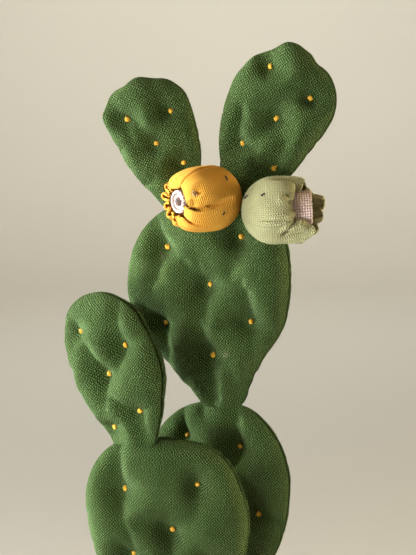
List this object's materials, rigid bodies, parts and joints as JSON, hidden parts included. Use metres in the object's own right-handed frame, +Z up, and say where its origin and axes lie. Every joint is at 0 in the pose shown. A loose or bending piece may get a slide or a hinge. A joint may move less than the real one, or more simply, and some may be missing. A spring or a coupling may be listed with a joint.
{
  "type": "potted fabric paddle cactus",
  "caption": "Soft cactus of tufted, stuffed cloth pads with stuffed cloth fruits, standing on wooden rods in a plain clay pot weighed down by plaster and pebbles.",
  "frame": {"origin": "middle of the pot's underside, on the surface that it stands on", "axes": "+Z up; the plant's front faces -Y; +X to its right as seen from the front"},
  "size_m": [0.1486, 0.128, 0.4252],
  "materials": {
    "green_cloth": "woven wool cloth, flecked green",
    "yellow_thread": "knotted golden-yellow thread",
    "black_thread": "short black stitches",
    "pale_thread": "short loose ends of pale thread",
    "mustard_cloth": "finely ribbed mustard cloth",
    "sage_cloth": "pale sage twill",
    "pink_cloth": "pale pink checked cloth, rolled",
    "clay": "unglazed fired clay",
    "plaster": "cast plaster",
    "pebble": "small rounded pebbles",
    "wood": "bare birch rod"
  },
  "bodies": {
    "root": {"back_lower_pad": "green_cloth", "front_lower_pad": "green_cloth", "middle_pad": "green_cloth", "left_pad": "green_cloth", "top_left_pad": "green_cloth", "top_right_pad": "green_cloth", "mustard_fruit": "mustard_cloth", "sage_fruit": "sage_cloth", "mustard_roll": "pink_cloth", "sage_roll": "pink_cloth", "back_rod": "wood", "front_rod": "wood", "left_pin": "wood", "right_pin": "wood", "pot": "clay", "plaster_plug": "plaster", "pebble_bed": "pebble"}
  },
  "joints": []
}
